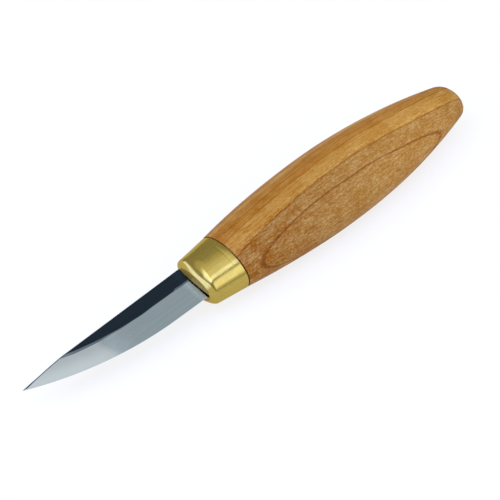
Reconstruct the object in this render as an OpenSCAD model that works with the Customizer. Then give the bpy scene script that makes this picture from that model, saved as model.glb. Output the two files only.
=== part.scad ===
// Sloyd knife: a short fixed blade on a stick tang, a drawn brass ferrule and an oval barrel handle.
// X runs along the knife from the tip to the butt, Y points to the spine and Z is square to the blade.
// The knife lies on its side, with the origin below the middle of its length. Sizes are in millimetres.

/* [Blade] */
// Length from the shoulders to the tip
blade_length = 69; // [45:0.5:110]
// Height of the blade at its shoulders, from the edge to the spine
heel_height = 16.8; // [12:0.1:18.5]
// Height of the spine above the knife's axis at the shoulders
spine_rise = 8.8; // [6:0.1:10]
// Height of the tip above the straight edge
tip_rise = 14.3; // [8:0.1:16]
// Length of edge that runs straight from the heel before the belly
edge_straight = 14; // [5:0.5:30]
// Length of spine that runs straight before it drops to the tip
spine_straight = 50; // [30:0.5:60]
// Fall of the straight spine towards the tip, in degrees
spine_fall = 1.3; // [0.2:0.1:2]
// Thickness of the steel
blade_thickness = 3; // [2:0.1:4]
// Height of the ground bevel above the edge
bevel_height = 9.4; // [5:0.1:12]
// Height above the bevel at which the shoulder starts to follow the ferrule's dome
shoulder_start = 0.6; // [0.3:0.1:2]
// Width of the land left along the honed edge
edge_land = 0.1; // [0.05:0.01:0.3]

/* [Tang] */
// Length of the tang behind the blade's shoulders
tang_length = 72; // [35:1:90]
// Height of the tang at the shoulders
tang_root_height = 8; // [5:0.1:8.4]
// Height of the tang at its end
tang_end_height = 4.5; // [3:0.1:5]
// Thickness of the tang
tang_thickness = 2.4; // [1.5:0.1:3]

/* [Ferrule] */
// Length of the ferrule
ferrule_length = 14.3; // [10:0.1:25]
// Height of the ferrule at its front, before its edge is rounded
ferrule_front_height = 21.2; // [19.5:0.1:23]
// Height of the ferrule at its rear rim
ferrule_rear_height = 24.9; // [23.5:0.1:28]
// Thickness of the drawn brass
ferrule_wall = 0.8; // [0.5:0.05:1.2]
// How far the ferrule's front bulges past its edge, before that is rounded
ferrule_dome = 2; // [1:0.1:2.5]
// Outer radius of the rounded front edge
ferrule_round = 1.4; // [1.3:0.1:3]
// Air left between the heel of the blade and the ferrule, of which the rest of the shoulder leaves half
shoulder_gap = 0.3; // [0.1:0.05:1]
// Clearance around the tang in the ferrule's slot
slot_clearance = 0.2; // [0.05:0.05:0.5]

/* [Handle] */
// Length of the wooden barrel, from the seam to the butt
handle_length = 110; // [80:0.5:130]
// Height of the barrel at its fullest
grip_height = 33.4; // [29:0.1:40]
// Thickness of the barrel at its fullest, over the flats of its sides
grip_thickness = 24; // [21:0.1:29]
// Width of the flat that each broad side of the barrel is sanded to
side_flat = 5; // [2:0.5:8]
// Distance from the seam to the fullest part
grip_peak = 48; // [30:0.5:60]
// Height of the butt, before its edge is rounded
butt_height = 13.8; // [12:0.1:22]
// Radius of the rounded butt edge
butt_round = 5.5; // [1:0.1:7.5]
// Air left in the seam between the ferrule's rim and the barrel
seam_gap = 0.2; // [0.05:0.05:0.6]
// Clearance between the handle's tenon and the inside of the ferrule
tenon_clearance = 0.1; // [0.02:0.01:0.3]

/* [Tang bore] */
// Diameter of the hole drilled for the tang
bore_diameter = 9.6; // [9:0.1:11]
// Adhesive left beyond the end of the tang
bore_spare = 2; // [0.5:0.5:6]

/* [Hidden] */
$fn = 96;
// Segments drawn in a full circle of the long shallow arcs
long_arc_fn = 256;

// Stations along the axis, counted from the seam face of the barrel
rim_x = -seam_gap;
face_x = rim_x - ferrule_length;
inside_x = face_x + ferrule_wall;
tenon_x = inside_x + ferrule_dome + tenon_clearance;
shoulder_x = face_x - shoulder_gap;
tip_x = shoulder_x - blade_length;
tang_end_x = shoulder_x + tang_length;
bore_end_x = tang_end_x + bore_spare;

// Overlap of shapes that are joined into one solid
weld = 1;
// How far a rounding stands past the two outlines that it joins, to cross both cleanly
round_ease = 0.02;

// Blade outline
edge_y = spine_rise - heel_height;
tip_y = edge_y + tip_rise;
belly_x = shoulder_x - edge_straight;
belly_run = belly_x - tip_x;
belly_radius = arc_radius(belly_run, tip_rise);
belly_y = edge_y + belly_radius;
bevel_slope = (blade_thickness - edge_land) / 2 / bevel_height;

// Spine outline, seen along its straight stretch: the drop is an arc that leaves it smoothly
tip_back = shoulder_x - tip_x;
tip_under = spine_rise - tip_y;
drop_run = tip_back * cos(spine_fall) + tip_under * sin(spine_fall) - spine_straight;
drop_sag = tip_under * cos(spine_fall) - tip_back * sin(spine_fall);
drop_radius = arc_radius(drop_run, drop_sag);

// Oval sections: each is a round one pressed flat across the blade's sides
peak_half = grip_height / 2;
flatness = grip_thickness / 2 / sqrt(peak_half * peak_half - pow(side_flat / 2, 2));
rear_half = ferrule_rear_height / 2;
inside_flatness = (rear_half * flatness - ferrule_wall) / (rear_half - ferrule_wall);
ferrule_taper = atan((ferrule_rear_height - ferrule_front_height) / 2 / ferrule_length);
dome_radius = arc_radius(ferrule_front_height / 2, ferrule_dome);

// Barrel outline: two arcs that meet level at the fullest part
front_radius = arc_radius(grip_peak, peak_half - rear_half);
rear_run = handle_length - grip_peak;
rear_radius = arc_radius(rear_run, peak_half - butt_height / 2);
corner_x = handle_length - butt_round;
corner_half = peak_half - rear_radius
    + sqrt(pow(rear_radius - butt_round, 2) - pow(corner_x - grip_peak, 2));
corner_start_x = grip_peak + (corner_x - grip_peak) * rear_radius / (rear_radius - butt_round);

// Flats of the broad sides: in side view they follow the barrel with two arcs of their own
flat_peak = flat_level(peak_half);
flat_front_radius = arc_radius(grip_peak, flat_peak - flat_level(rear_half));
flat_rear_radius = arc_radius(rear_run, flat_peak - flat_level(butt_height / 2));

// Distance from the axis at which an oval of this half height has a flat of the set width
function flat_level(half) = flatness * sqrt(half * half - pow(side_flat / 2, 2));

// Radius of an arc that starts level and falls by a sag over a run
function arc_radius(run, sag) = (run * run + sag * sag) / (2 * sag);

// Moves a shape from the seam to the knife's own origin, lying on its side
module in_place() {
    translate([-(tip_x + handle_length) / 2, 0, grip_thickness / 2]) children();
}

// Turns a profile of half height and station about the axis in four quarters, pressed to an oval
module oval_turned(flat) {
    for (turn = [0 : 90 : 270])
        scale([1, 1, flat]) rotate([0, 90, 0]) rotate(turn) rotate_extrude(angle = 90) children();
}

// A rectangle of the profile plane, from the axis outwards and between two stations
module span(half, from_x, to_x) {
    translate([0, from_x]) square([half, to_x - from_x]);
}

// Half height of the ferrule's outer side, carried on to a station
function side_half(x) = ferrule_front_height / 2 + (x - face_x) * tan(ferrule_taper);

// Half profile of the ferrule's outside, or of the hollow that an inset leaves in it. The rounded front
// edge is a circle that touches the dome and the side, so its centre lies on a line beside the side
// and on a circle about the dome's centre.
module cup_profile(inset, end_x) {
    dome = dome_radius - inset;
    round = ferrule_round - inset;
    dome_x = face_x + dome_radius;
    slope = tan(ferrule_taper);
    reach = dome - round;
    line_half = side_half(dome_x) - ferrule_round / cos(ferrule_taper);
    steep = 1 + slope * slope;
    back = (line_half * slope + sqrt(steep * reach * reach - line_half * line_half)) / steep;
    center_x = dome_x - back;
    center_half = line_half - back * slope;
    past_dome = (dome + weld) / reach;
    past_side = round + weld;
    side_inset = inset / cos(ferrule_taper);
    intersection() {
        translate([0, dome_x]) circle(dome, $fn = long_arc_fn);
        polygon([
            [0, face_x],
            [side_half(face_x) - side_inset, face_x],
            [side_half(end_x) - side_inset, end_x],
            [0, end_x]
        ]);
        union() {
            polygon([
                [0, face_x - weld],
                [center_half * past_dome, dome_x - back * past_dome],
                [center_half, center_x],
                [0, center_x]
            ]);
            polygon([
                [0, center_x],
                [center_half, center_x],
                [center_half + past_side * cos(ferrule_taper), center_x - past_side * sin(ferrule_taper)],
                [side_half(end_x) + weld, end_x],
                [0, end_x]
            ]);
            translate([center_half, center_x]) circle(round + round_ease);
        }
    }
}

// Half profile of the handle's tenon: flat in front, chamfered to clear the cup's rounded corner
module tenon_profile() {
    inset = (ferrule_wall + tenon_clearance) / cos(ferrule_taper);
    chamfer = ferrule_round - ferrule_wall;
    polygon([
        [0, tenon_x],
        [side_half(tenon_x) - inset - chamfer, tenon_x],
        [side_half(tenon_x + chamfer) - inset, tenon_x + chamfer],
        [side_half(weld) - inset, weld],
        [0, weld]
    ]);
}

// Half profile of the barrel
module barrel_profile() {
    intersection() {
        translate([peak_half - front_radius, grip_peak]) circle(front_radius, $fn = long_arc_fn);
        span(grip_height, 0, grip_peak);
    }
    intersection() {
        translate([peak_half - rear_radius, grip_peak]) circle(rear_radius, $fn = long_arc_fn);
        union() {
            span(grip_height, grip_peak, corner_start_x);
            span(corner_half, grip_peak, handle_length);
            translate([corner_half, corner_x]) circle(butt_round + round_ease);
        }
        span(grip_height, grip_peak, handle_length);
    }
}

// Stretch of the barrel's side view between its two flats
module flat_stretch(radius, from_x, to_x) {
    intersection() {
        translate([grip_peak, flat_peak - radius]) circle(radius, $fn = long_arc_fn);
        translate([grip_peak, radius - flat_peak]) circle(radius, $fn = long_arc_fn);
        translate([from_x, -grip_thickness]) square([to_x - from_x, 2 * grip_thickness]);
    }
}

// Space between the flats of the barrel's broad sides
module between_flats() {
    rotate([90, 0, 0]) linear_extrude(2 * grip_height, center = true) {
        flat_stretch(flat_front_radius, -weld, grip_peak);
        flat_stretch(flat_rear_radius, grip_peak, handle_length + weld);
    }
}

// Area inside the edge: a straight stretch at the heel, then the belly's arc to the tip. Above the
// bevel the shoulder runs back along the ferrule's dome.
module edge_area() {
    translate([belly_x, edge_y]) square([edge_straight, heel_height]);
    difference() {
        translate([belly_x, edge_y + bevel_height + shoulder_start])
            square([edge_straight + ferrule_dome, heel_height]);
        translate([face_x + dome_radius, 0])
            circle(dome_radius + shoulder_gap / 2, $fn = long_arc_fn);
    }
    intersection() {
        translate([belly_x, belly_y]) circle(belly_radius, $fn = long_arc_fn);
        translate([tip_x - weld, edge_y]) square([belly_run + weld, heel_height]);
    }
}

// Area under the spine: a straight stretch, then an arc that drops to the tip
module spine_area() {
    depth = 2 * heel_height;
    translate([shoulder_x, spine_rise]) rotate(spine_fall) {
        translate([-spine_straight, -depth]) square([spine_straight + ferrule_dome, depth]);
        intersection() {
            translate([-spine_straight, -drop_radius]) circle(drop_radius, $fn = long_arc_fn);
            translate([-spine_straight - drop_run - weld, -depth]) square([drop_run + weld, depth]);
        }
    }
}

// The blade's outline in the full thickness of the steel
module blank() {
    translate([0, 0, -blade_thickness / 2]) linear_extrude(blade_thickness) intersection() {
        edge_area();
        spine_area();
    }
}

// Section of the ground wedge: its edge at the origin, opening along the first axis
module wedge_section() {
    edge_half = edge_land / 2;
    back_half = edge_half + heel_height * bevel_slope;
    polygon([
        [0, -edge_half],
        [heel_height, -back_half],
        [heel_height, back_half],
        [0, edge_half]
    ]);
}

// Space between the two bevels: straight at the heel, turned about the belly's centre beyond it
module ground_wedge() {
    translate([belly_x, edge_y, 0]) rotate([90, 0, 90])
        linear_extrude(edge_straight + ferrule_dome) wedge_section();
    intersection() {
        translate([belly_x, belly_y, 0]) rotate_extrude()
            translate([belly_radius, 0]) mirror([1, 0]) wedge_section();
        translate([tip_x - weld, edge_y - weld, -heel_height])
            cube([belly_run + weld, heel_height + 2 * weld, 2 * heel_height]);
    }
}

// The tapered tang from the blade's shoulders to its end, with a clearance all round
module tang(clearance = 0) {
    root = tang_root_height / 2 + clearance;
    end = tang_end_height / 2 + clearance;
    thickness = tang_thickness + 2 * clearance;
    translate([0, 0, -thickness / 2]) linear_extrude(thickness) polygon([
        [shoulder_x, -root],
        [shoulder_x, root],
        [tang_end_x, end],
        [tang_end_x, -end]
    ]);
}

// Drilled hole for the tang, open at the tenon's front face
module tang_bore() {
    translate([tenon_x, 0, 0]) rotate([0, 90, 0])
        cylinder(h = bore_end_x - tenon_x, d = bore_diameter);
}

module blade() {
    color([0.56, 0.6, 0.64]) in_place() {
        intersection() {
            blank();
            ground_wedge();
        }
        tang();
    }
}

module ferrule() {
    color([0.75, 0.65, 0.28]) in_place() difference() {
        oval_turned(flatness) cup_profile(0, rim_x);
        oval_turned(inside_flatness) cup_profile(ferrule_wall, rim_x + weld);
        tang(slot_clearance);
    }
}

module handle() {
    color([0.72, 0.5, 0.24]) in_place() difference() {
        union() {
            intersection() {
                oval_turned(flatness) barrel_profile();
                between_flats();
            }
            oval_turned(inside_flatness) tenon_profile();
        }
        tang_bore();
    }
}

module tang_bedding() {
    color([0.85, 0.8, 0.66]) in_place() difference() {
        tang_bore();
        tang();
    }
}

blade();
ferrule();
handle();
tang_bedding();
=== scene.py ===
"""Sloyd knife: its visible pieces, their finishes and the stage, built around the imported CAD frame.

It is laid out as an add-on: properties hold the sizes and colours, one operator makes each piece and a
panel lists them. Lengths are in metres, in the frame's axes: X runs from the tip to the butt, Y points to
the spine and Z is up.
"""

from math import asin, copysign, cos, hypot, pi, radians, sin, sqrt, tan, tau

import bmesh
import bpy
from bpy.props import FloatProperty, FloatVectorProperty, PointerProperty
from mathutils import Color, Matrix, Vector


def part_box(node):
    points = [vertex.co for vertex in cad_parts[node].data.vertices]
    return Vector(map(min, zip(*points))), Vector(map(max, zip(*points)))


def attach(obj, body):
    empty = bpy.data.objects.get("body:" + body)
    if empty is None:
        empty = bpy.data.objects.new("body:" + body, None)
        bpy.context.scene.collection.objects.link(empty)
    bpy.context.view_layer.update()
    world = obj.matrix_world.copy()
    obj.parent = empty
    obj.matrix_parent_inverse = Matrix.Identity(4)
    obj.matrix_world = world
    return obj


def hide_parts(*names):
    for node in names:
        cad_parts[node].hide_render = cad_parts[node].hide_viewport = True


bl_info = {
    "name": "Sloyd knife",
    "version": (1, 0, 0),
    "blender": (4, 5, 0),
    "location": "View3D > Sidebar > Sloyd knife",
    "description": "Builds the visible pieces of a sloyd knife around its CAD frame",
    "category": "Object",
}

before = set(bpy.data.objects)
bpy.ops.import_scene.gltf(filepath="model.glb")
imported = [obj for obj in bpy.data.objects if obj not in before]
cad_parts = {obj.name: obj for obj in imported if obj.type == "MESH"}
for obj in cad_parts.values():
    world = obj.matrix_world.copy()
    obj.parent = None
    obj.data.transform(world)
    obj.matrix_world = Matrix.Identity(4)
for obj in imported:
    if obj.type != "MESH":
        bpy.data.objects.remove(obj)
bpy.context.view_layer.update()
MM = 0.001

# What the frame says about the pieces
BLADE_LOW, BLADE_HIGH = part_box("blade")
FERRULE_LOW, FERRULE_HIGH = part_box("ferrule")
HANDLE_LOW, HANDLE_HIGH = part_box("handle")
BEDDING_LOW, BEDDING_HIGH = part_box("tang_bedding")
AXIS_Z = (HANDLE_LOW.z + HANDLE_HIGH.z) / 2
OVAL_FLATNESS = (FERRULE_HIGH.z - FERRULE_LOW.z) / (FERRULE_HIGH.y - FERRULE_LOW.y)

# Fineness of the meshes
OVAL_POINTS = 180
BLADE_STATIONS = 190
BEVEL_STEPS = 12
FLAT_STEPS = 6
BARREL_STATIONS = 96
ROUND_STEPS = 9
FACE_STEPS = 4
CHAMFER_STEPS = 6
SIDE_STEPS = 12
GROOVE_STEPS = 12
RIM_STEPS = 6
BUTT_STEPS = 18
FLOOR_POINTS = 96
MERGE_DISTANCE = 0.0005 * MM
SHARP_ANGLE = radians(32)

LENGTHWISE, UPWARDS = (1, 0, 0), (0, 0, 1)


def screen(red, green, blue):
    """Linear colour of the 8-bit values that a screen shows"""
    return tuple(Color((red / 255, green / 255, blue / 255)).from_srgb_to_scene_linear())


def opaque(tone, level=1.0):
    """A colour of full opacity, brought to a level of its brightness"""
    return tuple(value * level for value in tone) + (1,)


def length(label, about, default):
    """A property for a length, whose default is given in millimetres"""
    return FloatProperty(name=label, description=about, default=default * MM, precision=5, unit="LENGTH")


def angle(label, about, degrees):
    """A property for an angle"""
    return FloatProperty(name=label, description=about, default=radians(degrees), subtype="ANGLE")


def share(label, about, default):
    """A property for a share between nothing and all"""
    return FloatProperty(name=label, description=about, default=default, min=0, max=1, subtype="FACTOR")


def colour(label, about, default):
    """A property for a linear colour"""
    return FloatVectorProperty(name=label, description=about, default=default, min=0, max=1, subtype="COLOR")


class BladeProperties(bpy.types.PropertyGroup):
    """Sizes and finish of the blade"""

    shoulder_gap: length("Shoulder gap", "Air between the heel and the ferrule", 0.3)
    shoulder_start: length("Shoulder start", "Height in which the shoulder turns", 0.6)
    spine_rise: length("Spine rise", "Height of the spine above the axis at the heel", 8.8)
    edge_straight: length("Straight edge", "Straight edge before the belly", 14)
    tip_rise: length("Tip rise", "Height of the tip above the straight edge", 14.3)
    spine_straight: length("Straight spine", "Straight spine before it drops", 50)
    spine_fall: angle("Spine fall", "Fall of the spine towards the tip", 1.3)
    spine_break: length("Spine break", "Width of the spine's broken corners", 0.45)
    spine_strip: length("Spine strip", "Dark strip between bevel and spine near the tip", 0.25)
    bare_spine: length("Bare spine", "Length of the spine's bare corners at the tip", 17)
    edge_land: length("Edge land", "Width of the land along the edge", 0.1)
    bevel_height: length("Bevel height", "Height of the bevel above the straight edge", 9.6)
    bevel_fall: length("Bevel fall", "How much lower the bevel is along the belly", 0.8)
    # The belly's painted reflection: towards the tip the bevel is painted brighter in place of the lamps'
    # reflection
    painted_reflection_distance: length("Painted reflection start", "Distance of the painted reflection from the heel", 37.4)
    heel_step: length("Heel step", "How much higher the bevel is at the heel", 0.6)
    heel_step_back: length("Heel step place", "Distance of that step from the heel", 6.4)
    ridge_waver: length("Ridge waver", "How far the ridge strays from its line", 0.08)
    ridge_blend: length("Ridge blend", "Width of the facet along the ridge near the tip", 1.1)
    ridge_blend_heel: length("Ridge blend at heel", "Width of that facet at the heel", 0.15)
    tang_root: length("Tang root", "Height of the tang at the shoulders", 8)
    tang_end: length("Tang end", "Height of the tang at its end", 4.5)
    tang_thickness: length("Tang thickness", "Thickness of the tang", 2.4)
    bevel_colour: colour("Bevel colour", "Colour of the ground steel", (0.52, 0.635, 0.69))
    # Painted reflection: the brighter steel tint of the belly towards the tip
    painted_reflection_colour: colour("Painted reflection colour", "Colour of the belly's painted reflection", (0.525, 0.59, 0.62))
    blend_colour: colour("Blend colour", "Colour of the facet along the ridge", (0.17, 0.22, 0.27))
    flat_colour: colour("Flat colour", "Colour of the dark flats", (0.021, 0.037, 0.054))


class FerruleProperties(bpy.types.PropertyGroup):
    """Sizes and finish of the ferrule"""

    cup_length: length("Length", "Length from the foremost point to the rim", 14.45)
    front_height: length("Front height", "Height that the side would have at the front", 21.2)
    wall: length("Wall", "Thickness of the drawn brass", 0.8)
    face_height: length("Face height", "Height of the front face", 17.4)
    face_width: length("Face width", "Width of the front face", 10.4)
    face_dome: length("Face dome", "How far the face falls back at its broad edges", 0.35)
    face_radius: length("Face radius", "Radius of the face along its height", 50)
    face_low: length("Face low point", "Distance of the foremost point below the axis", 3)
    chamfer: length("Chamfer", "Length of the chamfer between face and side", 2.1)
    front_round: length("Front round", "Length of side that the rounded corner takes", 2.6)
    round_start: share("Round start", "Part of the chamfer at which the rounding starts", 0.1)
    narrow_round: share("Narrow round", "Share of the rounding at the narrow ends", 0.17)
    rim_round: length("Rim round", "Radius of the rim's outer corner", 0.22)
    lip_width: length("Lip width", "Width of the lip at the rim", 1.65)
    groove_width: length("Groove width", "Width of the line in front of the lip", 1)
    groove_depth: length("Groove depth", "Depth of that line", 0.02)
    drop: length("Drop", "How far the cup lies towards the edge", 0.2)
    slot_clearance: length("Slot clearance", "Clearance around the tang", 0.5)
    slot_reach: length("Slot reach", "How far the slot reaches down", 8.3)
    slot_taper: length("Slot taper", "Length in which the slot narrows", 6)
    slot_end: share("Slot end", "Share of the width at the slot's narrow end", 0.4)
    brass_colour: colour("Brass colour", "Colour of the polished brass", (0.49, 0.37, 0.076))
    dull_colour: colour("Dull brass colour", "Colour of the front face", (0.46, 0.318, 0.066))


class HandleProperties(bpy.types.PropertyGroup):
    """Sizes and finish of the handle"""

    seam_gap: length("Seam gap", "Air between the rim and the barrel", 0.2)
    seam_set_back: length("Seam set-back", "How far the barrel's front stands back", 0.25)
    seam_groove: length("Seam groove", "Depth of the groove in the barrel's end face", 0.8)
    peak_distance: length("Peak distance", "Distance from the seam to the fullest part", 48)
    butt_height: length("Butt height", "Height of the butt before it is rounded", 13.8)
    butt_round: length("Butt round", "Radius of the rounded butt edge", 5.5)
    drop: length("Drop", "How far the barrel lies towards the edge", 0.12)
    hand_work: length("Hand work", "How far the barrel strays from a true oval", 0.08)
    tenon_clearance: length("Tenon clearance", "Room between the tenon and the ferrule", 0.3)
    golden_colour: colour("Golden wood", "Colour of the clear layers", screen(180, 130, 54))
    ruddy_colour: colour("Ruddy wood", "Colour of the redder layers", screen(169, 114, 40))
    tan_colour: colour("Tan wood", "Colour of the mottled layers", screen(164, 119, 55))
    line_colour: colour("Growth lines", "Colour of the dark growth lines", screen(124, 68, 15))


class StageProperties(bpy.types.PropertyGroup):
    """Floor, light and camera"""

    floor_radius: length("Floor radius", "Radius of the floor", 9000)
    floor_colour: colour("Floor colour", "Colour of the floor", (0.96, 0.94, 0.84))
    floor_glow: share("Floor glow", "Share of white in what is seen of the floor", 0.78)
    room_light: share("Room light", "Brightness of the room", 0.5)
    camera_azimuth: angle("Camera azimuth", "Heading of the camera", -34.0267)
    camera_elevation: angle("Camera elevation", "Height of the camera over the horizon", 43.8832)
    camera_roll: angle("Camera roll", "Turn of the camera about its view", -10.8708)
    camera_distance: length("Camera distance", "Distance of the camera from the seam", 800)
    camera_right: length("Camera right", "Shift of the camera to its right", 8.4805)
    camera_up: length("Camera up", "Shift of the camera upwards", 4.1385)
    camera_lens: FloatProperty(name="Camera lens", description="Focal length", default=169.053, unit="CAMERA")


def arc_radius(run, sag):
    """Radius of an arc that starts level and falls by a sag over a run"""
    return (run * run + sag * sag) / (2 * sag)


def ease(value, start, end):
    """Smooth rise from 0 at the start to 1 at the end"""
    part = min(max((value - start) / (end - start), 0), 1)
    return part * part * (3 - 2 * part)


def blend(start, end, part):
    """Value at a part of the way between two others"""
    return start + (end - start) * part


def steps(start, end, count):
    """Values from behind the start to the end, evenly spaced"""
    return [blend(start, end, step / count) for step in range(1, count + 1)]


def soft_least(first, second, softness):
    """The smaller of two values, with the corner between them rounded"""
    overlap = max(softness - abs(first - second), 0) / softness
    return min(first, second) - overlap * overlap * softness / 4


def oval_ring(x, half_height, half_width, rise=0.0, corner=2.0):
    """Points of an oval square to the axis; a corner value above 2 squares it off"""
    ring = []
    for step in range(OVAL_POINTS):
        turn = tau * step / OVAL_POINTS
        across, up = cos(turn), sin(turn)
        reach = (abs(across) ** corner + abs(up) ** corner) ** (-1 / corner)
        ring.append(Vector((x, rise + half_height * reach * across, AXIS_Z + half_width * reach * up)))
    return ring


def between(first, second, part):
    """Ring at a part of the way between two others"""
    return [start.lerp(end, part) for start, end in zip(first, second)]


def finished(name, maker, finishes):
    """Turns a mesh in the making into an object with its finishes"""
    mesh = bpy.data.meshes.new(name)
    maker.to_mesh(mesh)
    maker.free()
    for finish in finishes:
        mesh.materials.append(finish)
    piece = bpy.data.objects.new(name, mesh)
    bpy.context.scene.collection.objects.link(piece)
    return piece


def make_piece(name, node, rings, finishes, finish_of=None, creases=(), cyclic=False):
    """Makes a closed piece through rings of equal numbers of points, in the place of its CAD node.

    finish_of gives a face's finish by its ring and point, and creases are the points whose lines stay sharp.
    """
    maker = bmesh.new()
    rows = [[maker.verts.new(point) for point in ring] for ring in rings]
    count = len(rings[0])
    pairs = list(zip(rows, rows[1:]))
    if cyclic:
        pairs.append((rows[-1], rows[0]))
    for place, (row, following) in enumerate(pairs):
        for point in range(count):
            beside = (point + 1) % count
            face = maker.faces.new((row[point], row[beside], following[beside], following[point]))
            face.material_index = finish_of(place, point) if finish_of else 0
            if point in creases:
                maker.edges.get((row[point], following[point])).smooth = False
    if not cyclic:
        maker.faces.new(rows[0])
        maker.faces.new(rows[-1])
    bmesh.ops.remove_doubles(maker, verts=maker.verts, dist=MERGE_DISTANCE)
    bmesh.ops.dissolve_degenerate(maker, edges=maker.edges, dist=MERGE_DISTANCE)
    bmesh.ops.recalc_face_normals(maker, faces=maker.faces)
    for face in maker.faces:
        face.smooth = True
    for edge in maker.edges:
        if edge.calc_face_angle(0) > SHARP_ANGLE:
            edge.smooth = False
    piece = finished(name, maker, finishes)
    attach(piece, "root")
    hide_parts(node)


class Sketch:
    """Adds the nodes of a shader tree, links them and hands back their sockets"""

    def __init__(self, tree, place=None):
        self.tree = tree
        self.place = place

    def add(self, kind, values=None, **settings):
        """A node with its settings, and its inputs by name or number, linked or set"""
        node = self.tree.nodes.new(kind)
        for setting, value in settings.items():
            setattr(node, setting, value)
        for place, value in (values or {}).items():
            self.feed(node.inputs[place], value)
        return node

    def feed(self, socket, value):
        """Links a socket into another, or sets its value"""
        if isinstance(value, bpy.types.NodeSocket):
            self.tree.links.new(value, socket)
        else:
            socket.default_value = value

    def math(self, operation, *values):
        """A sum of values or sockets"""
        return self.add("ShaderNodeMath", dict(enumerate(values)), operation=operation).outputs[0]

    def scaled(self, value, by, plus=0.0):
        """A value multiplied by another, plus a third"""
        return self.math("MULTIPLY_ADD", value, by, plus)

    def vector(self, operation, *values, result="Vector"):
        """A sum of vectors"""
        node = self.add("ShaderNodeVectorMath", dict(enumerate(values)), operation=operation)
        return node.outputs[result]

    def along(self, direction, place=None):
        """Distance of a place along a direction"""
        return self.vector("DOT_PRODUCT", place or self.place, direction, result="Value")

    def noise(self, size, detail=2.0, roughness=0.5):
        """Noise from 0 to 1 whose features have a size along each axis"""
        place = self.vector("DIVIDE", self.place, size)
        values = {"Vector": place, "Scale": 1.0, "Detail": detail, "Roughness": roughness}
        return self.add("ShaderNodeTexNoise", values).outputs[0]

    def rise(self, value, start, end, low=0.0, high=1.0):
        """A smooth rise from low to high between two values"""
        values = {"Value": value, 1: start, 2: end, 3: low, 4: high}
        return self.add("ShaderNodeMapRange", values, interpolation_type="SMOOTHSTEP").outputs[0]

    def mix(self, part, first, second):
        """A mix of two colours"""
        return self.add("ShaderNodeMix", {0: part, 6: first, 7: second}, data_type="RGBA").outputs[2]


# Length and width of the bands among the streaks, as multiples of a streak's
BAND_STRETCH = (2.2, 4.5, 4.5)


def streak_effect(sketch, given):
    """Fine lines along the knife, with broader bands, as a belt or a buffing wheel leaves them"""
    sizes = {0: given["Run"], 1: given["Width"], 2: given["Width"]}
    size = sketch.add("ShaderNodeCombineXYZ", sizes).outputs[0]
    lines = sketch.noise(size, detail=3.0, roughness=0.6)
    bands = sketch.noise(sketch.vector("MULTIPLY", size, BAND_STRETCH), detail=1.0)
    return sketch.rise(sketch.scaled(bands, by=0.5, plus=lines), start=0.45, end=1.05), lines


def smudge_effect(sketch, given):
    """Soft uneven patches, as handling leaves them"""
    patches = sketch.noise(given["Size"], detail=4.0, roughness=0.55)
    return (sketch.rise(patches, start=0.32, end=0.68),)


def heel_effect(sketch, given):
    """The blade's heel, which the polishing wheel doesn't reach"""
    past = sketch.math("SUBTRACT", sketch.along(LENGTHWISE), given["Heel"])
    return (sketch.rise(past, start=-3.6, end=-1.2),)


# Shared effects: their makers, their inputs besides the place and their outputs
EFFECTS = {
    "Lengthwise streaks": (streak_effect, ("Run", "Width"), ("Lines", "Relief")),
    "Smudges": (smudge_effect, ("Size",), ("Patches",)),
    "Unpolished heel": (heel_effect, ("Heel",), ("Rubbing",)),
}


def shared_effect(name):
    """The node group of a shared effect, made at its first use"""
    if name in bpy.data.node_groups:
        return bpy.data.node_groups[name]
    maker, inputs, outputs = EFFECTS[name]
    tree = bpy.data.node_groups.new(name, "ShaderNodeTree")
    tree.interface.new_socket("Place", in_out="INPUT", socket_type="NodeSocketVector")
    for label in inputs:
        tree.interface.new_socket(label, in_out="INPUT", socket_type="NodeSocketFloat")
    for label in outputs:
        tree.interface.new_socket(label, in_out="OUTPUT", socket_type="NodeSocketFloat")
    given = tree.nodes.new("NodeGroupInput").outputs
    sketch = Sketch(tree, given["Place"])
    sketch.add("NodeGroupOutput", dict(zip(outputs, maker(sketch, given))))
    return tree


class Finish(Sketch):
    """The sketch of a new material, with its places in millimetres"""

    def __init__(self, name):
        self.material = bpy.data.materials.new(name)
        self.material.use_nodes = True
        super().__init__(self.material.node_tree)
        place = self.add("ShaderNodeTexCoord").outputs["Object"]
        self.place = self.vector("DIVIDE", place, (MM, MM, MM))

    def shared(self, name, **values):
        """Outputs of a shared effect with its own values"""
        values["Place"] = self.place
        return self.add("ShaderNodeGroup", values, node_tree=shared_effect(name)).outputs

    def distance(self, centre, weights):
        """Distance of the place from a centre, with each axis weighted"""
        away = self.vector("MULTIPLY", self.vector("SUBTRACT", self.place, centre), weights)
        return self.vector("LENGTH", away, result="Value")

    def relief(self, height, depth, strength):
        """Gives the surface fine relief, its depth in metres"""
        values = {"Height": height, "Distance": depth, "Strength": strength}
        self.surface({"Normal": self.add("ShaderNodeBump", values).outputs[0]})

    def surface(self, values):
        """Feeds the surface shader; gives the material"""
        shader = self.tree.nodes["Principled BSDF"]
        for name, value in values.items():
            self.feed(shader.inputs[name], value)
        return self.material

    def metal(self, run, width, smudge, depth, strength):
        """Makes the surface a streaked metal; gives the masks of its streaks and smudges"""
        streaks = self.shared("Lengthwise streaks", Run=run, Width=width)
        self.relief(streaks["Relief"], depth, strength)
        self.surface({"Metallic": 1.0})
        return streaks["Lines"], self.shared("Smudges", Size=smudge)["Patches"]

    def graded(self, gloss, plan):
        """Roughness of the steel, which is higher on the unpolished heel"""
        heel = self.shared("Unpolished heel", Heel=plan.shoulder_x / MM)["Rubbing"]
        return self.scaled(heel, by=0.22, plus=gloss)


# Brightness of worn bevels, of the belly's painted reflection far from the edge, and of a flat's light
# streaks
WORN_STEEL, FAR_BELLY_STEEL, LIGHT_STREAK = 0.88, 0.76, 1.3
# Half the length over which the belly's painted reflection fades in, in millimetres
REFLECTION_FADE = 1.8
# What brass keeps of red, green and blue where it is worn and where it is seen edge-on
WORN_BRASS, EDGE_TINT = (0.8, 0.78, 0.7), (0.72, 0.62, 0.36, 1.0)


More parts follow.
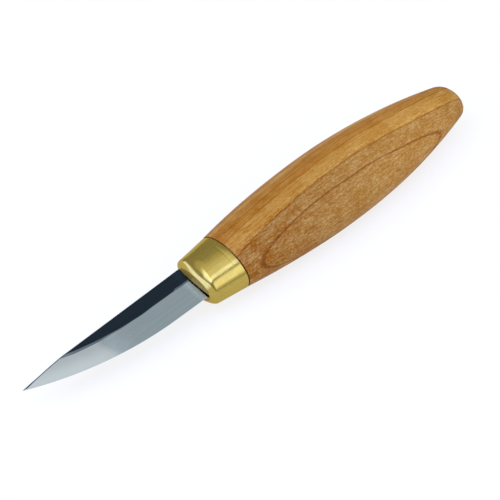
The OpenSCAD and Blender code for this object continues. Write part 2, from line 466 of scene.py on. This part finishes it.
def ground_steel(blade, plan):
    """The belt-ground bevels: fine lines along the edge, and a brighter painted reflection on the belly
    towards the tip
    """
    finish = Finish("Ground steel")
    lines, patches = finish.metal(run=22.0, width=0.16, smudge=5.0, depth=0.005 * MM, strength=0.4)
    ground = finish.mix(lines, opaque(blade.bevel_colour, WORN_STEEL), opaque(blade.bevel_colour))
    # The belly's painted reflection is darker away from the edge, from 1 to 8 mm off it
    reach = finish.distance((plan.belly_x / MM, plan.belly_y / MM, 0), (1, 1, 0))
    off_edge = finish.math("SUBTRACT", plan.belly_radius / MM, reach)
    graded = finish.rise(off_edge, start=1.0, end=8.0)
    belly = finish.mix(graded, opaque(blade.painted_reflection_colour), opaque(blade.painted_reflection_colour, FAR_BELLY_STEEL))
    # Painted reflection: towards the tip the bevel takes the belly's brighter tint, which fades in at this
    # border
    reflection_x = (plan.shoulder_x - blade.painted_reflection_distance) / MM
    second = finish.rise(finish.along(LENGTHWISE), reflection_x - REFLECTION_FADE, reflection_x + REFLECTION_FADE, low=1.0, high=0.0)
    gloss = finish.scaled(patches, by=0.03, plus=finish.scaled(lines, by=-0.03, plus=0.1))
    tint = finish.mix(second, ground, belly)
    return finish.surface({"Base Color": tint, "Roughness": finish.graded(gloss, plan)})


def dark_steel(name, tone, plan):
    """Dark polished steel of a given tone"""
    finish = Finish(name)
    lines, patches = finish.metal(run=22.0, width=0.3, smudge=7.0, depth=0.004 * MM, strength=0.4)
    gloss = finish.graded(finish.scaled(patches, by=0.08, plus=0.12), plan)
    tint = finish.mix(lines, opaque(tone), opaque(tone, LIGHT_STREAK))
    return finish.surface({"Base Color": tint, "Roughness": gloss})


def brass(name, tone, gloss):
    """Drawn brass of a given tone and roughness, buffed along its length and thinly waxed"""
    finish = Finish(name)
    lines, patches = finish.metal(run=30.0, width=0.22, smudge=4.0, depth=0.003 * MM, strength=0.1)
    worn = opaque(value * kept for value, kept in zip(tone, WORN_BRASS))
    gloss = finish.scaled(patches, by=0.06, plus=gloss)
    finish.surface({"Specular Tint": EDGE_TINT, "Coat Weight": 0.25, "Coat Roughness": 0.2})
    return finish.surface({"Base Color": finish.mix(lines, worn, opaque(tone)), "Roughness": gloss})


# Growth lines: their distances across the layers in millimetres, and how dark each is
GROWTH_LINES = (
    (-14.6, 0.7), (-11.2, 0.9), (-7.6, 0.6), (-4.4, 0.7), (-1.0, 0.8), (2.4, 0.6), (8.65, 0.9), (13.3, 1.0)
)
# A line starts this far before its place and ends this far after it
LINE_START, LINE_END = 0.42, 0.18
LAYER_SPAN = 18.0
# Direction across the layers, with their slow run-out along the handle
LAYER_DIRECTION = (0.036, -1.0, 0.374)
# Depth of the layers at the middle of the seam, before they wander
LAYER_START = -2.35
# The deep layers swing by this much, once in this length, and lie highest this far from the seam
SWING, SWING_LENGTH, SWING_START = 0.85, 110.0, 15.0
# Towards the butt the layers turn by this much over this stretch, measured from the seam
TWIST, TWIST_START, TWIST_END = -0.15, 55.0, 95.0
# The darkest that the figure makes the wood, and how softly it stops there
DARKEST_FIGURE = (-0.45, 0.25)
# How much a pale fleck of figure lifts red, green and blue
PALE_TINT = (0.32, 0.62, 1.3)
# How the mottled wood changes in red, green and blue at the seam
FRONT_TINT = (-0.02, -0.12, -0.22)
# A gum spot: its place from the middle of the seam, and the weights of its axes
GUM_SPOT, GUM_WEIGHTS = (6.7, -12.1, 3.5), (0.45, 1.0, 1.0)


def growth_layer(wood, middle):
    """Depth of a place across the growth layers, which wander, twist and swing along the handle"""
    slow = wood.noise(size=(70.0, 15.0, 15.0), detail=1.0)
    quick = wood.noise(size=(14.0, 4.0, 4.0))
    wander = wood.scaled(quick, by=0.5, plus=wood.scaled(slow, by=0.6, plus=LAYER_START))
    place = wood.vector("SUBTRACT", wood.place, middle)
    run = wood.along(LENGTHWISE, place)
    twist = wood.rise(run, TWIST_START, TWIST_END, high=TWIST)
    twisted = wood.scaled(wood.along(UPWARDS, place), by=twist, plus=wander)
    plain = wood.math("ADD", wood.along(LAYER_DIRECTION, place), twisted)
    turn = tau / SWING_LENGTH
    swing = wood.math("COSINE", wood.scaled(run, by=turn, plus=-turn * SWING_START))
    return wood.scaled(swing, by=wood.rise(plain, start=5.0, end=13.0, high=SWING), plus=plain)


def cherry(handle):
    """Oiled cherry: growth layers, mottled figure, fine fibres and small gum flecks"""
    wood = Finish("Oiled cherry")
    seam = (FERRULE_HIGH.x + handle.seam_gap) / MM
    butt = HANDLE_HIGH.x / MM
    middle = Vector((seam, 0, AXIS_Z / MM))
    along = wood.along(LENGTHWISE)
    layer = growth_layer(wood, middle)
    ramp = wood.add("ShaderNodeValToRGB", {0: wood.scaled(layer, by=0.5 / LAYER_SPAN, plus=0.5)})
    colour_layers(ramp.color_ramp, handle)
    fibres = wood.noise(size=(16.0, 0.75, 0.75), roughness=0.6)
    figure = wood.noise(size=(1.2, 0.5, 0.5), detail=3.0, roughness=0.65)
    patches = wood.shared("Smudges", Size=6.0)["Patches"]
    mottled = wood.rise(layer, start=5.5, end=9.0, low=0.42)
    pale = 0.0
    for mask, weight in ((figure, wood.scaled(mottled, by=4.1)), (fibres, 2.0), (patches, 0.4)):
        pale = wood.scaled(wood.math("SUBTRACT", mask, 0.5), by=weight, plus=pale)
    pale = wood.math("SMOOTH_MAX", pale, *DARKEST_FIGURE)
    tone = wood.rise(along, start=seam, end=seam + 90, low=-0.18, high=0.11)
    tone = wood.scaled(mottled, by=tone, plus=1.0)
    tone = wood.math("ADD", tone, wood.rise(along, start=butt - 16, end=butt - 2, high=-0.15))
    front = wood.math("MULTIPLY", mottled, wood.rise(along, start=seam, end=seam + 60, low=1.0, high=0.0))
    tone = wood.vector("MULTIPLY_ADD", front, FRONT_TINT, tone)
    tone = wood.vector("MULTIPLY_ADD", pale, PALE_TINT, tone)
    shaded = wood.vector("MULTIPLY", ramp.outputs[0], tone)
    flecks = wood.rise(wood.noise(size=(2.4, 0.7, 0.7), detail=1.0), start=0.62, end=0.74, high=0.45)
    from_spot = wood.distance(middle + Vector(GUM_SPOT), GUM_WEIGHTS)
    spot = wood.rise(from_spot, start=0.4, end=1.3, low=0.7, high=0.0)
    gum = wood.math("MAXIMUM", wood.math("MULTIPLY", flecks, mottled), spot)
    wood.relief(fibres, depth=0.02 * MM, strength=0.5)
    return wood.surface({
        "Base Color": wood.mix(gum, shaded, opaque(handle.line_colour)),
        "Roughness": wood.scaled(fibres, by=0.16, plus=0.4),
        "Specular IOR Level": 0.05,
    })


def colour_layers(ramp, handle):
    """Sets a ramp's stops to the growth layers, each deepening into a dark line"""
    line = Vector(handle.line_colour)
    ruddy, golden, mottled = handle.ruddy_colour, handle.golden_colour, handle.tan_colour
    clear = (ruddy, ruddy, ruddy, golden, ruddy, ruddy, golden, mottled, mottled)
    stops = [(-LAYER_SPAN, Vector(clear[0]))]
    for (distance, depth), before, after in zip(GROWTH_LINES, clear, clear[1:]):
        before, after = Vector(before), Vector(after)
        stops.append((distance - LINE_START, before))
        stops.append((distance, before.lerp(line, depth)))
        stops.append((distance + LINE_END, after))
    for number, (distance, shown) in enumerate(stops):
        position = (distance + LAYER_SPAN) / (2 * LAYER_SPAN)
        stop = ramp.elements[number] if number < 2 else ramp.elements.new(position)
        stop.position = position
        stop.color = opaque(shown)


def adhesive():
    """Cured adhesive with cloudy patches, hidden inside the handle"""
    finish = Finish("Cured adhesive")
    clear, cloudy = screen(226, 214, 184), screen(206, 188, 148)
    patches = finish.shared("Smudges", Size=3.0)["Patches"]
    gloss = finish.scaled(patches, by=0.15, plus=0.45)
    tint = finish.mix(patches, opaque(clear), opaque(cloudy))
    return finish.surface({"Base Color": tint, "Roughness": gloss})


# Power by which the front's rounding grows towards the broad sides
ROUND_GROWTH = 3


class Cup:
    """The ferrule's tapered cup with its chamfered front"""

    def __init__(self, ferrule):
        self.ferrule = ferrule
        self.rim_x = FERRULE_HIGH.x
        self.face_x = self.rim_x - ferrule.cup_length
        self.corner_x = self.face_x + ferrule.chamfer
        self.rear_half = (FERRULE_HIGH.y - FERRULE_LOW.y) / 2
        self.front_half = ferrule.front_height / 2
        self.slope = (self.rear_half - self.front_half) / ferrule.cup_length

    def side(self, x, inset=0.0):
        """Half height of the tapered side at a station"""
        return self.front_half + (x - self.face_x) * self.slope - inset

    def side_ring(self, x, inset=0.0, dip=0.0):
        """Ring of the tapered side at a station"""
        half = self.side(x) - dip
        return oval_ring(x, half - inset, half * OVAL_FLATNESS - inset, -self.ferrule.drop)

    def front(self, y, up=0.0, inset=0.0):
        """Station of the front face at a height and a distance from the blade's middle"""
        radius = self.ferrule.face_radius - inset
        behind = self.ferrule.face_dome * (2 * up / self.ferrule.face_width) ** 2
        behind += self.ferrule.face_radius - sqrt(radius ** 2 - (y + self.ferrule.face_low) ** 2)
        return self.face_x + behind

    def on_front(self, ring, inset=0.0):
        """A ring moved onto the front face"""
        return [Vector((self.front(point.y, point.z - AXIS_Z, inset), point.y, point.z)) for point in ring]

    def front_rings(self, slot, inset=0.0):
        """Rings from the slot over the front face and its chamfer to the side"""
        half_height = self.ferrule.face_height / 2 - inset
        half_width = self.ferrule.face_width / 2 - inset
        edge = self.on_front(oval_ring(0, half_height, half_width), inset)
        corner = self.side_ring(self.corner_x + inset, inset)
        behind = self.side_ring(self.corner_x + inset + self.ferrule.front_round, inset)
        start = between(edge, corner, self.ferrule.round_start)
        for number, point in enumerate(corner):
            broad = abs(point.z - AXIS_Z) / (self.side(point.x) * OVAL_FLATNESS)
            part = blend(self.ferrule.narrow_round, 1, broad ** ROUND_GROWTH)
            start[number] = point.lerp(start[number], part)
            behind[number] = point.lerp(behind[number], part)
        rings = [self.on_front(between(slot, edge, step / FACE_STEPS), inset) for step in range(FACE_STEPS)]
        rings += [between(edge, start, step / CHAMFER_STEPS) for step in range(CHAMFER_STEPS)]
        for part in [0] + steps(0, 1, ROUND_STEPS):
            rings.append(between(between(start, corner, part), between(corner, behind, part), part))
        return rings


# Lengths of the ridge's slow and quick waver, and the quick one's share
SLOW_WAVER, QUICK_WAVER, QUICK_SHARE = 3.7 * MM, 1.43 * MM, 0.6
# How far before and behind its place the heel's step falls off
STEP_BEFORE, STEP_BEHIND = 0.9 * MM, 0.5 * MM
# Where the bevel's plane would meet the flat, as a share of the ridge facet
BLEND_PLACE = 0.4
# Most of the height that the spine's facet and the dark strip may take
BREAK_LIMIT, STRIP_LIMIT = 0.4, 0.3
# Depth of the spine's facet as a share of its width, and at most of the thickness
BREAK_DEPTH, BREAK_MOST = 0.8, 0.5
# Length behind the shoulders over which the tang takes its own section
TANG_BLEND = 2 * MM


class BladePlan:
    """The blade's outline and grind"""

    def __init__(self, blade, cup):
        self.blade = blade
        self.cup = cup
        self.tip_x = BLADE_LOW.x
        self.shoulder_x = cup.face_x - blade.shoulder_gap
        self.edge_y = BLADE_LOW.y
        self.half_thickness = (BLADE_HIGH.z - BLADE_LOW.z) / 2
        self.belly_x = self.shoulder_x - blade.edge_straight
        self.belly_radius = arc_radius(self.belly_x - self.tip_x, blade.tip_rise)
        self.belly_y = self.edge_y + self.belly_radius
        fall = blade.spine_fall
        along = Vector((-cos(fall), -sin(fall)))
        above = Vector((-sin(fall), cos(fall)))
        self.drop_start = Vector((self.shoulder_x, blade.spine_rise)) + along * blade.spine_straight
        tip = Vector((self.tip_x, self.edge_y + blade.tip_rise)) - self.drop_start
        self.drop_radius = arc_radius(tip.dot(along), -tip.dot(above))
        self.drop_centre = self.drop_start - above * self.drop_radius

    def edge(self, x, inset=0.0):
        """Y of the edge, or of a line at a distance from it"""
        if x >= self.belly_x:
            return self.edge_y + inset
        return self.belly_y - sqrt((self.belly_radius - inset) ** 2 - (x - self.belly_x) ** 2)

    def spine(self, x):
        """Y of the spine"""
        if x >= self.drop_start.x:
            return self.drop_start.y + (x - self.drop_start.x) * tan(self.blade.spine_fall)
        return self.drop_centre.y + sqrt(self.drop_radius ** 2 - (x - self.drop_centre.x) ** 2)

    def off_edge(self, x, y):
        """Distance of a point from the edge"""
        if x >= self.belly_x:
            return y - self.edge_y
        return self.belly_radius - hypot(x - self.belly_x, y - self.belly_y)

    def ridge(self, x):
        """Distance of the ridge from the edge, with its hand-ground waver"""
        fall = self.blade.bevel_fall * ease(self.shoulder_x - x, start=12 * MM, end=42 * MM)
        waver = sin(x / SLOW_WAVER) + QUICK_SHARE * sin(x / QUICK_WAVER + 1)
        return self.blade.bevel_height - fall + self.blade.ridge_waver * waver

    def heel_step(self, x):
        """How far the ground finish reaches past the ridge at the heel"""
        place = self.blade.heel_step_back
        past = ease(self.shoulder_x - x, place - STEP_BEFORE, place + STEP_BEHIND)
        return self.blade.heel_step * (1 - past)

    def blend_width(self, x):
        """Width of the facet that blends the bevel into the ridge"""
        near_tip = ease(self.shoulder_x - x, start=22 * MM, end=48 * MM)
        return blend(self.blade.ridge_blend_heel, self.blade.ridge_blend, near_tip)

    def height(self, x, y):
        """Height of the near side over the blade's middle"""
        ridge, width = self.ridge(x), self.blend_width(x)
        land = self.blade.edge_land / 2
        slope = (self.half_thickness - land) / (ridge - BLEND_PLACE * width)
        distance = self.off_edge(x, y)
        start = ridge - width
        if distance <= start:
            return land + slope * max(distance, 0)
        return blend(land + slope * start, self.half_thickness, min((distance - start) / width, 1))

    def side(self, x):
        """Y and height of the near side's points at a station, from edge to spine"""
        edge, spine = self.edge(x), self.spine(x)
        facet = min(self.blade.spine_break, BREAK_LIMIT * (spine - edge))
        top = spine - facet
        ridge, width = self.ridge(x), self.blend_width(x)
        strip = min(self.blade.spine_strip, STRIP_LIMIT * (top - edge))
        crest = min(self.edge(x, ridge) + self.heel_step(x), top - strip)
        bevel_top = min(self.edge(x, ridge - width), crest)
        across = [edge] + steps(edge, bevel_top, BEVEL_STEPS) + [crest] + steps(crest, top, FLAT_STEPS)
        points = [(y, self.height(x, y)) for y in across]
        drop = min(BREAK_DEPTH * facet, BREAK_MOST * points[-1][1])
        return points + [(spine, points[-1][1] - drop)]

    def to_shoulder(self, ring):
        """A ring moved to the rear end: straight at the heel, along the ferrule's dome above the bevel"""
        start = self.edge_y + self.ridge(self.shoulder_x)
        moved = []
        for point in ring:
            follow = self.cup.front(point.y) - self.blade.shoulder_gap / 2
            x = blend(self.shoulder_x, follow, ease(point.y, start, start + self.blade.shoulder_start))
            moved.append(Vector((x, point.y, point.z)))
        return moved

    def ring(self, x):
        """The whole section at a station, up the near side and down the far side"""
        near = [Vector((x, y, AXIS_Z + height)) for y, height in self.side(x)]
        far = [Vector((x, y, AXIS_Z - height)) for y, height in self.side(x)]
        return near + far[::-1]

    def tang_ring(self, x, widen):
        """The tang's section with the same number of points; widen brings it out of the blade's heel"""
        part = (x - self.shoulder_x) / (BLADE_HIGH.x - self.shoulder_x)
        half = blend(self.blade.tang_root, self.blade.tang_end, part) / 2
        thick = self.blade.tang_thickness / 2
        ring = []
        for point in self.ring(self.shoulder_x):
            y = min(max(point.y, -half), half)
            up = min(max(point.z - AXIS_Z, -thick), thick)
            if abs(y) < half:
                up = blend(up, copysign(thick, up), widen)
            ring.append(Vector((x, y, AXIS_Z + up)))
        return ring


class SLOYD_OT_make_blade(bpy.types.Operator):
    """Makes the blade: ground bevels, dark flats, shoulders and tang"""

    bl_idname = "sloyd.make_blade"
    bl_label = "Make blade"

    def execute(self, context):
        blade = context.scene.sloyd_blade
        plan = BladePlan(blade, Cup(context.scene.sloyd_ferrule))
        stations = [plan.tip_x] + steps(plan.tip_x, plan.shoulder_x, BLADE_STATIONS)
        rings = [plan.ring(x) for x in stations]
        rings[-1] = plan.to_shoulder(rings[-1])
        rings.append(plan.to_shoulder(plan.tang_ring(plan.shoulder_x, 0)))
        rings.append(plan.tang_ring(plan.shoulder_x + TANG_BLEND, 1))
        rings.append(plan.tang_ring(BLADE_HIGH.x, 1))
        side_points = len(rings[0]) // 2
        ground, dark, half_ground = range(3)

        def finish_of(place, point):
            """Ground steel on the bevels, half-ground steel along the ridges, dark steel elsewhere"""
            from_edge = min(point, 2 * side_points - 2 - point)
            if place >= BLADE_STATIONS:
                return dark
            if from_edge < BEVEL_STEPS:
                return ground
            bare = stations[place] < plan.tip_x + blade.bare_spine
            if from_edge == BEVEL_STEPS:
                return ground if bare else half_ground
            return half_ground if bare and from_edge >= side_points - 2 else dark

        near = (0, BEVEL_STEPS, BEVEL_STEPS + 1, side_points - 2, side_points - 1)
        creases = set(near) | {2 * side_points - 1 - point for point in near}
        finishes = [ground_steel(blade, plan), dark_steel("Dark steel", blade.flat_colour, plan)]
        finishes.append(dark_steel("Half-ground steel", blade.blend_colour, plan))
        make_piece("sloyd_blade", "blade", rings, finishes, finish_of, creases)
        return {"FINISHED"}


# Power of the slot's oblong, which is nearly square at its corners
SLOT_CORNER = 14


class SLOYD_OT_make_ferrule(bpy.types.Operator):
    """Makes the ferrule: a drawn brass cup with a slot for the tang and a turned lip"""

    bl_idname = "sloyd.make_ferrule"
    bl_label = "Make ferrule"

    def execute(self, context):
        ferrule = context.scene.sloyd_ferrule
        blade = context.scene.sloyd_blade
        cup = Cup(ferrule)
        slot_top = blade.tang_root / 2 + ferrule.slot_clearance
        slot_half = (slot_top + ferrule.slot_reach) / 2
        slot_width = blade.tang_thickness / 2 + ferrule.slot_clearance
        slot = oval_ring(0, slot_half, slot_width, slot_top - slot_half, corner=SLOT_CORNER)
        for point in slot:
            part = min((point.y + ferrule.slot_reach) / ferrule.slot_taper, 1)
            point.z = blend(AXIS_Z, point.z, blend(ferrule.slot_end, 1, part))
        side_x = cup.corner_x + ferrule.front_round
        groove_x = cup.rim_x - ferrule.lip_width - ferrule.groove_width
        rings = cup.front_rings(slot)
        rings += [cup.side_ring(x) for x in steps(side_x, groove_x, SIDE_STEPS)]
        for part in steps(0, 1, GROOVE_STEPS):
            dip = ferrule.groove_depth * sin(pi * part) ** 2
            rings.append(cup.side_ring(groove_x + ferrule.groove_width * part, dip=dip))
        for turn in [0] + steps(0, pi / 2, RIM_STEPS):
            x = cup.rim_x - ferrule.rim_round * (1 - sin(turn))
            rings.append(cup.side_ring(x, dip=ferrule.rim_round * (1 - cos(turn))))
        rings.append(cup.side_ring(cup.rim_x, ferrule.wall))
        rings += cup.front_rings(slot, ferrule.wall)[::-1]
        buffed = brass("Drawn brass", ferrule.brass_colour, gloss=0.15)
        dull = brass("Dull brass", ferrule.dull_colour, gloss=0.62)

        def finish_of(place, point):
            """Dull brass on the front face, buffed brass elsewhere"""
            return int(place < FACE_STEPS)

        make_piece("brass_ferrule", "ferrule", rings, (buffed, dull), finish_of, cyclic=True)
        return {"FINISHED"}


# Lengths of the waves that hand sanding leaves, and the turn between them
SHORT_WAVE, LONG_WAVE, WAVE_TURN = 9 * MM, 23 * MM, 1.3
# Softness of the corners along the flats
FLAT_EASE = 0.3 * MM
# Rounding of the tenon's front, and the tenon's flatness
TENON_ROUND, TENON_FLATNESS = 0.6 * MM, 0.97 * OVAL_FLATNESS
# Sizes of the rings that close the butt, as shares of its flat
BUTT_RINGS = (0.75, 0.5, 0.25, 0.08)


class Barrel:
    """The handle's barrel and tenon"""

    def __init__(self, handle, cup):
        self.handle = handle
        self.cup = cup
        self.seam_x = FERRULE_HIGH.x + handle.seam_gap
        self.front_x = self.seam_x + handle.seam_set_back
        self.peak_x = self.seam_x + handle.peak_distance
        self.peak_half = (HANDLE_HIGH.y - HANDLE_LOW.y) / 2 - 2 * handle.hand_work
        self.flatness = (HANDLE_HIGH.z - HANDLE_LOW.z) / 2 / self.peak_half
        self.front_radius = arc_radius(handle.peak_distance, self.peak_half - cup.rear_half)
        self.rear_radius = arc_radius(HANDLE_HIGH.x - self.peak_x, self.peak_half - handle.butt_height / 2)

    def half(self, x):
        """Half height of the barrel at a station"""
        radius = self.front_radius if x < self.peak_x else self.rear_radius
        return self.peak_half - radius + sqrt(radius ** 2 - (x - self.peak_x) ** 2)

    def ring(self, x, half):
        """An oval of the barrel with its broad sides eased flat and a trace of hand work"""
        ring = []
        for point in oval_ring(x, half, half * OVAL_FLATNESS):
            up = point.z - AXIS_Z
            stray = sin(x / SHORT_WAVE + 2 * point.y / half)
            stray *= sin(x / LONG_WAVE + WAVE_TURN + up / half)
            swell = 1 + self.handle.hand_work * stray / self.peak_half
            flat_up = copysign(soft_least(abs(up), half * self.flatness, FLAT_EASE), up)
            ring.append(Vector((x, point.y * swell - self.handle.drop, AXIS_Z + flat_up)))
        return ring

    def tenon_rings(self):
        """Rings from the end of the bore round the tenon to the barrel's front"""
        front_x = BEDDING_LOW.x
        bore_half = (BEDDING_HIGH.y - BEDDING_LOW.y) / 2
        inset = self.cup.ferrule.wall + self.handle.tenon_clearance
        front_half = self.cup.side(front_x + TENON_ROUND, inset)
        rings = [oval_ring(x, bore_half, bore_half) for x in (BEDDING_HIGH.x, front_x)]
        path = [(front_x, front_half - TENON_ROUND), (front_x + TENON_ROUND, front_half)]
        path.append((self.front_x, self.cup.side(self.seam_x, inset)))
        return rings + [oval_ring(x, half, half * TENON_FLATNESS) for x, half in path]

    def barrel_rings(self):
        """Rings from the groove in the barrel's end face to the middle of the butt"""
        groove, rounding = self.handle.seam_groove, self.handle.butt_round
        groove_x, corner_x = self.front_x + groove, HANDLE_HIGH.x - rounding
        reach, run = self.rear_radius - rounding, corner_x - self.peak_x
        corner_half = self.peak_half - self.rear_radius + sqrt(reach ** 2 - run ** 2)
        start = asin(run / reach)
        path = [(groove_x, self.half(groove_x) - groove), (self.front_x, self.half(self.front_x))]
        for x in steps(groove_x, corner_x + rounding * sin(start), BARREL_STATIONS):
            path.append((x, self.half(x)))
        for turn in steps(start, pi / 2, BUTT_STEPS):
            path.append((corner_x + rounding * sin(turn), corner_half + rounding * cos(turn)))
        path += [(HANDLE_HIGH.x, corner_half * part) for part in BUTT_RINGS]
        return [self.ring(x, half) for x, half in path]


class SLOYD_OT_make_handle(bpy.types.Operator):
    """Makes the handle: an oval barrel with a domed butt, its tenon and the tang's bore"""

    bl_idname = "sloyd.make_handle"
    bl_label = "Make handle"

    def execute(self, context):
        handle = context.scene.sloyd_handle
        barrel = Barrel(handle, Cup(context.scene.sloyd_ferrule))
        rings = barrel.tenon_rings() + barrel.barrel_rings()
        make_piece("cherry_handle", "handle", rings, (cherry(handle),))
        return {"FINISHED"}


class SLOYD_OT_finish_bedding(bpy.types.Operator):
    """Gives the tang's bedding, which stays as the CAD made it, its own finish"""

    bl_idname = "sloyd.finish_bedding"
    bl_label = "Finish bedding"

    def execute(self, context):
        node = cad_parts["tang_bedding"]
        node.data.materials.clear()
        node.data.materials.append(adhesive())
        return {"FINISHED"}


def floor_finish(stage):
    """Pale floor: plain diffuse for the light, nearly plain white where it is seen or mirrored"""
    material = bpy.data.materials.new("Pale floor")
    material.use_nodes = True
    material.node_tree.nodes.clear()
    sketch = Sketch(material.node_tree)
    rays = sketch.add("ShaderNodeLightPath").outputs
    seen = sketch.math("MAXIMUM", rays["Is Camera Ray"], rays["Is Glossy Ray"])
    matt = sketch.add("ShaderNodeBsdfDiffuse", {"Color": opaque(stage.floor_colour)})
    white = sketch.add("ShaderNodeEmission", {"Strength": 1.0})
    part = sketch.math("MULTIPLY", seen, stage.floor_glow)
    floor = sketch.add("ShaderNodeMixShader", {0: part, 1: matt.outputs[0], 2: white.outputs[0]})
    sketch.add("ShaderNodeOutputMaterial", {"Surface": floor.outputs[0]})
    return material


# Soft boxes: place, whether they face the knife or straight down, width, height, brightness and colour
WHITE, MILD, COOL = (1.0, 1.0, 1.0), (0.95, 1.12, 2.0), (0.9, 1.15, 2.8)
SOFT_BOXES = {
    "Overhead strip": ((0.1, -0.7125, 1.5), False, 2.6, 0.375, 1.0, COOL),
    "Ceiling 1": ((0.1, -0.456, 1.52), False, 2.6, 0.912, 0.24, MILD),
    "Ceiling 2": ((0.0, -0.27, 1.54), False, 2.8, 1.309, 0.22, MILD),
    "Ceiling 3": ((-0.511, -0.062, 1.56), False, 1.878, 1.747, 0.2, WHITE),
    "Ceiling 4": ((-0.517, 0.316, 1.58), False, 1.904, 2.528, 0.3, WHITE),
    "Front overhead box": ((-1.3, -0.1, 1.48), False, 2.0, 1.2, 1.2, COOL),
    "Upper side box": ((0.3, -1.3, 0.877), True, 1.7, 0.933, 0.95, MILD),
    "Side box": ((0.35, -1.366, 0.757), True, 1.7, 1.244, 0.48, WHITE),
    "Tip-side box": ((-1.3, 0.75, 0.26), True, 2.6, 0.5, 1.5, COOL),
}


def soft_box(name, place, aimed, width, height, brightness, tint):
    """A rectangular lamp of even brightness, aimed at the knife or straight down"""
    lamp = bpy.data.lights.new(name, "AREA")
    lamp.shape = "RECTANGLE"
    lamp.size = width
    lamp.size_y = height
    lamp.energy = pi * width * height * brightness
    lamp.color = tint
    holder = bpy.data.objects.new(name, lamp)
    holder.location = place
    if aimed:
        holder.rotation_euler = (-Vector(place)).to_track_quat("-Z", "Y").to_euler()
    holder.visible_camera = False
    bpy.context.scene.collection.objects.link(holder)


class SLOYD_OT_set_stage(bpy.types.Operator):
    """Sets the floor, the soft light and the camera"""

    bl_idname = "sloyd.set_stage"
    bl_label = "Set stage"

    def execute(self, context):
        stage = context.scene.sloyd_stage
        maker = bmesh.new()
        bmesh.ops.create_circle(maker, cap_ends=True, radius=stage.floor_radius, segments=FLOOR_POINTS)
        floor = finished("floor", maker, (floor_finish(stage),))
        for name, box in SOFT_BOXES.items():
            soft_box(name, *box)
        world = bpy.data.worlds.new("Plain room")
        world.use_nodes = True
        room = world.node_tree.nodes["Background"].inputs
        room["Color"].default_value = opaque(WHITE)
        room["Strength"].default_value = stage.room_light
        context.scene.world = world
        self.place_camera(context.scene, stage)
        context.scene.view_settings.view_transform = "Standard"
        return {"FINISHED"}

    def place_camera(self, scene, stage):
        """Sets the camera at the photograph's viewing angle, aimed by the seam"""
        lens = bpy.data.cameras.new("Camera")
        lens.lens = stage.camera_lens
        heading, rise, roll = stage.camera_azimuth, stage.camera_elevation, stage.camera_roll
        level = Vector((cos(heading), sin(heading), 0))
        back = Vector((level.y, -level.x, 0)) * cos(rise) + Vector(UPWARDS) * sin(rise)
        upright = back.cross(level)
        right = level * cos(roll) + upright * sin(roll)
        up = upright * cos(roll) - level * sin(roll)
        seam = Vector((FERRULE_HIGH.x + scene.sloyd_handle.seam_gap, 0, AXIS_Z))
        place = seam + back * stage.camera_distance + right * stage.camera_right + up * stage.camera_up
        camera = bpy.data.objects.new("Camera", lens)
        camera.matrix_world = Matrix.LocRotScale(place, Matrix((right, up, back)).transposed(), None)
        scene.collection.objects.link(camera)
        scene.camera = camera


class SLOYD_PT_knife(bpy.types.Panel):
    """Lists the knife's pieces with their sizes and colours"""

    bl_idname = "SLOYD_PT_knife"
    bl_label = "Sloyd knife"
    bl_space_type = "VIEW_3D"
    bl_region_type = "UI"
    bl_category = "Sloyd knife"

    def draw(self, context):
        for operator, group in PIECES:
            box = self.layout.box()
            box.operator(operator.bl_idname)
            if group is None:
                continue
            settings = getattr(context.scene, group)
            for name in settings.__annotations__:
                box.prop(settings, name)


PROPERTY_GROUPS = {
    "sloyd_blade": BladeProperties,
    "sloyd_ferrule": FerruleProperties,
    "sloyd_handle": HandleProperties,
    "sloyd_stage": StageProperties,
}
PIECES = (
    (SLOYD_OT_make_blade, "sloyd_blade"),
    (SLOYD_OT_make_ferrule, "sloyd_ferrule"),
    (SLOYD_OT_make_handle, "sloyd_handle"),
    (SLOYD_OT_finish_bedding, None),
    (SLOYD_OT_set_stage, "sloyd_stage"),
)
CLASSES = (*PROPERTY_GROUPS.values(), *(operator for operator, _ in PIECES), SLOYD_PT_knife)


def register():
    """Adds the classes and their properties"""
    for item in CLASSES:
        bpy.utils.register_class(item)
    for name, group in PROPERTY_GROUPS.items():
        setattr(bpy.types.Scene, name, PointerProperty(type=group))


def unregister():
    """Takes the properties and classes away again"""
    for name in PROPERTY_GROUPS:
        delattr(bpy.types.Scene, name)
    for item in reversed(CLASSES):
        bpy.utils.unregister_class(item)


def main():
    """Makes every piece and the stage"""
    register()
    bpy.ops.sloyd.make_blade()
    bpy.ops.sloyd.make_ferrule()
    bpy.ops.sloyd.make_handle()
    bpy.ops.sloyd.finish_bedding()
    bpy.ops.sloyd.set_stage()


if __name__ == "__main__":
    main()
